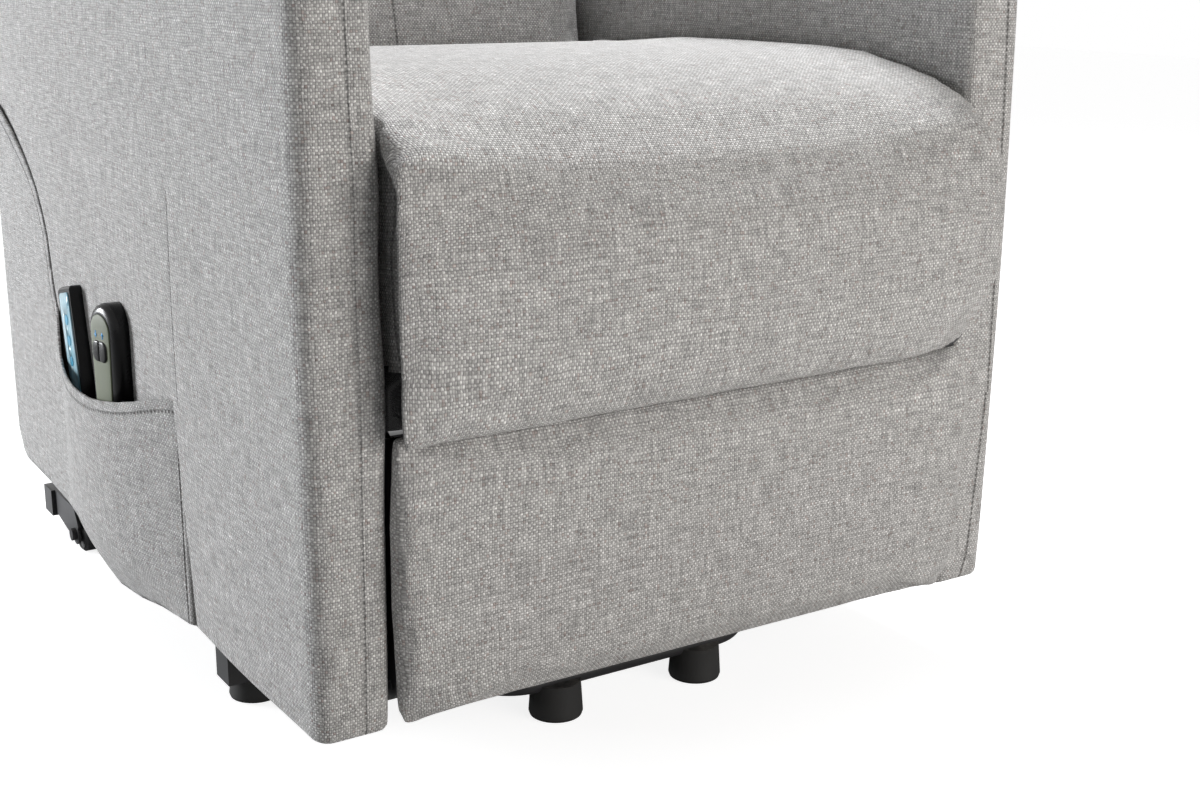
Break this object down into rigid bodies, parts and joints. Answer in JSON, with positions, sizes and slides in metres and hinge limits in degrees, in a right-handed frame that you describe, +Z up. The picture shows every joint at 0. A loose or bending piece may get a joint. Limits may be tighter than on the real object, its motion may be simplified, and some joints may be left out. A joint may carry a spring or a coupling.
{
  "type": "lift recliner chair",
  "caption": "Upholstered powered recliner with a steel lift base, a scissor foot rest, a reclining cushioned back, padded arms, side pockets and pull-out handsets.",
  "frame": {"origin": "On the floor, under the middle of the chair's overall box.", "axes": "+Z up, -Y the way the sitter faces, +X to the right of someone who looks at the chair's front."},
  "size_m": [0.748, 0.9243, 1.0624],
  "materials": {
    "base_steel": "satin black powder coat",
    "link_steel": "satin black",
    "rubber": "matte",
    "black_plastic": "matte",
    "bright_steel": "zinc plated",
    "wood": "raw plywood",
    "upholstery": "warm grey woven melange",
    "lining": "plain grey cloth",
    "handset_shell": "fine texture",
    "key": "semi-gloss",
    "blue_key": "satin"
  },
  "bodies": {
    "base": {"base_side_rails": "base_steel", "front_cross_tube": "base_steel", "rear_cross_tube": "base_steel", "front_stabiliser": "base_steel", "tube_end_caps": "black_plastic", "rubber_feet": "rubber", "wheel_brackets": "base_steel", "lift_pivot_plates": "base_steel", "actuator_foot_clevis": "base_steel"},
    "rear_wheel_left": {"rear_wheel_left": "black_plastic"},
    "rear_wheel_right": {"rear_wheel_right": "black_plastic"},
    "front_lift_links": {"front_lift_links": "link_steel", "lift_torque_tube": "link_steel"},
    "rear_lift_links": {"rear_lift_links": "link_steel"},
    "actuator_body": {"actuator_motor": "black_plastic", "actuator_tube": "black_plastic"},
    "actuator_rod": {"actuator_rod": "bright_steel"},
    "seat_body": {"side_plate_left": "link_steel", "side_plate_right": "link_steel", "front_cross_member": "base_steel", "rear_cross_member": "base_steel", "seat_frame": "wood", "seat_springs": "bright_steel", "seat_cushion": "upholstery", "seat_vibration_motors": "black_plastic", "arm_boards": "wood", "arm_left": "upholstery", "arm_right": "upholstery", "arm_pad_left": "upholstery", "arm_pad_right": "upholstery", "arm_spacers": "bright_steel", "pocket_left": "upholstery", "pocket_right": "upholstery", "rear_valance": "lining", "power_supply": "black_plastic"},
    "back": {"back_bracket_left": "link_steel", "back_bracket_right": "link_steel", "back_uprights": "wood", "back_rails": "wood", "back_springs": "bright_steel", "back_shell": "upholstery", "lower_back_cushion": "upholstery", "middle_back_cushion": "upholstery", "headrest_cushion": "upholstery", "back_vibration_motors": "black_plastic"},
    "foot_link_inner": {"foot_link_inner": "link_steel"},
    "foot_link_outer": {"foot_link_outer": "link_steel"},
    "foot_rest": {"foot_link_carrier": "link_steel", "foot_board": "wood", "foot_cushion": "upholstery"},
    "foot_link_half": {"foot_link_half": "link_steel"},
    "recline_rods": {"recline_rods": "link_steel"},
    "lift_handset": {"lift_handset": "handset_shell"},
    "lift_rocker": {"lift_rocker": "key"},
    "massage_handset": {"massage_handset": "handset_shell"},
    "massage_button_top": {"massage_button_top": "blue_key"},
    "massage_button_middle": {"massage_button_middle": "blue_key"},
    "massage_button_bottom": {"massage_button_bottom": "blue_key"}
  },
  "joints": [
    {"name": "lift", "type": "hinge", "parent": "base", "child": "front_lift_links", "pos_m": [0, -0.28819, 0.068], "axis": [1, 0, 0], "range_deg": [0, 28.3]},
    {"name": "lift_tilt", "type": "hinge", "parent": "front_lift_links", "child": "seat_body", "pos_m": [0, -0.00019, 0.13], "axis": [1, 0, 0], "range_deg": [-2.31, 0]},
    {"name": "rear_lift_turn", "type": "hinge", "parent": "base", "child": "rear_lift_links", "pos_m": [0, -0.23819, 0.075], "axis": [1, 0, 0], "range_deg": [0, 30.29]},
    {"name": "actuator_turn", "type": "hinge", "parent": "base", "child": "actuator_body", "pos_m": [0, -0.11119, 0.094], "axis": [1, 0, 0], "range_deg": [0, 14.8]},
    {"name": "actuator_stroke", "type": "slide", "parent": "actuator_body", "child": "actuator_rod", "axis": [0, -0.6717, 0.7408], "range_m": [0, 0.07282]},
    {"name": "recline", "type": "hinge", "parent": "seat_body", "child": "back", "pos_m": [0, 0.19181, 0.4], "axis": [-1, 0, 0], "range_deg": [0, 40]},
    {"name": "foot_inner_turn", "type": "hinge", "parent": "seat_body", "child": "foot_link_inner", "pos_m": [0, -0.35319, 0.285], "axis": [-1, 0, 0], "range_deg": [0, 88]},
    {"name": "foot_outer_turn", "type": "hinge", "parent": "foot_link_inner", "child": "foot_link_outer", "pos_m": [0, -0.36477, 0.19071], "axis": [1, 0, 0], "range_deg": [0, 146]},
    {"name": "foot_rest_turn", "type": "hinge", "parent": "foot_link_outer", "child": "foot_rest", "pos_m": [0, -0.37635, 0.285], "axis": [-1, 0, 0], "range_deg": [0, 146]},
    {"name": "foot_half_turn", "type": "hinge", "parent": "foot_link_inner", "child": "foot_link_half", "pos_m": [0, -0.37635, 0.09642], "axis": [1, 0, 0], "range_deg": [0, 146]},
    {"name": "recline_rod_turn", "type": "hinge", "parent": "foot_link_inner", "child": "recline_rods", "pos_m": [0, -0.36421, 0.25178], "axis": [1, 0, 0], "range_deg": [0, 93.75]},
    {"name": "rear_wheel_left_spin", "type": "hinge", "parent": "base", "child": "rear_wheel_left", "pos_m": [-0.302, 0.30681, 0.021], "axis": [1, 0, 0], "continuous": true},
    {"name": "rear_wheel_right_spin", "type": "hinge", "parent": "base", "child": "rear_wheel_right", "pos_m": [0.302, 0.30681, 0.021], "axis": [1, 0, 0], "continuous": true},
    {"name": "lift_handset_pull", "type": "slide", "parent": "seat_body", "child": "lift_handset", "axis": [0, 0, 1], "range_m": [0, 0.2]},
    {"name": "lift_rocker_tilt", "type": "hinge", "parent": "lift_handset", "child": "lift_rocker", "pos_m": [-0.3642, -0.00819, 0.2985], "axis": [0, 0, 1], "range_deg": [-5, 5], "stiffness_Nm_per_rad": 0.1},
    {"name": "massage_handset_pull", "type": "slide", "parent": "seat_body", "child": "massage_handset", "axis": [0, 0.2079, 0.9781], "range_m": [0, 0.18]},
    {"name": "massage_button_top_press", "type": "slide", "parent": "massage_handset", "child": "massage_button_top", "axis": [1, 0, 0], "range_m": [0, 0.001], "stiffness_N_per_m": 300, "springref_m": -0.002},
    {"name": "massage_button_middle_press", "type": "slide", "parent": "massage_handset", "child": "massage_button_middle", "axis": [1, 0, 0], "range_m": [0, 0.001], "stiffness_N_per_m": 300, "springref_m": -0.002},
    {"name": "massage_button_bottom_press", "type": "slide", "parent": "massage_handset", "child": "massage_button_bottom", "axis": [1, 0, 0], "range_m": [0, 0.001], "stiffness_N_per_m": 300, "springref_m": -0.002}
  ],
  "couplings": [
    {"joint": "lift_tilt", "follows": "lift", "ratio": -0.081576},
    {"joint": "rear_lift_turn", "follows": "lift", "ratio": 1.0701},
    {"joint": "actuator_turn", "follows": "lift", "ratio": 0.52296},
    {"joint": "actuator_stroke", "follows": "lift", "m_per_rad": 0.14742},
    {"joint": "foot_inner_turn", "follows": "recline", "ratio": 2.2},
    {"joint": "foot_outer_turn", "follows": "recline", "ratio": 3.65},
    {"joint": "foot_rest_turn", "follows": "recline", "ratio": 3.65},
    {"joint": "foot_half_turn", "follows": "recline", "ratio": 3.65},
    {"joint": "recline_rod_turn", "follows": "recline", "ratio": 2.3437}
  ]
}
